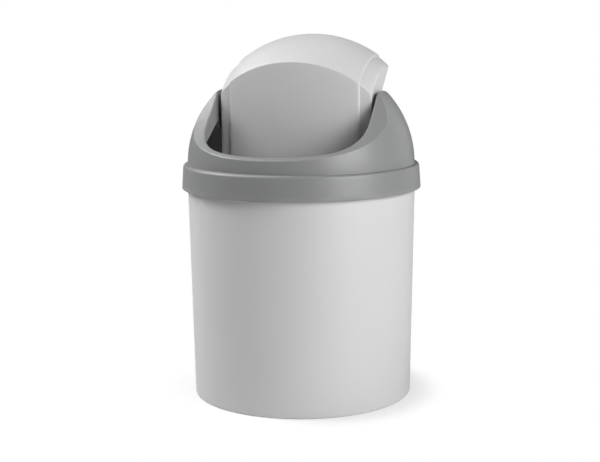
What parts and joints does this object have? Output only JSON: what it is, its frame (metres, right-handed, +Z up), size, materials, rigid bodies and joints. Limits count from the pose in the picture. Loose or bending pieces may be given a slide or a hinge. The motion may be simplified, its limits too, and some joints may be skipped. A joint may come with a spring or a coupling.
{
  "type": "countertop waste bin with swing flap",
  "caption": "Round tapered bucket with a collared dome hood and a swing flap that tips open on two moulded pins.",
  "frame": {"origin": "centre of the foot, on the surface that the bin stands on", "axes": "+Z up, -Y the front where the mouth is, +X to the right seen from the front"},
  "size_m": [0.1498, 0.15, 0.2258],
  "materials": {
    "light_grey_plastic": "fine matte moulded polypropylene",
    "mid_grey_plastic": "satin moulded polypropylene"
  },
  "bodies": {
    "bucket": {"bucket": "light_grey_plastic"},
    "hood": {"hood": "mid_grey_plastic"},
    "flap": {"swing_flap": "light_grey_plastic"}
  },
  "joints": [
    {"name": "hood_lift", "type": "slide", "parent": "bucket", "child": "hood", "axis": [0, 0, 1], "range_m": [0, 0.08]},
    {"name": "flap_swing", "type": "hinge", "parent": "hood", "child": "flap", "pos_m": [0, 0, 0.1735], "axis": [1, 0, 0], "range_deg": [-52, 0]}
  ]
}
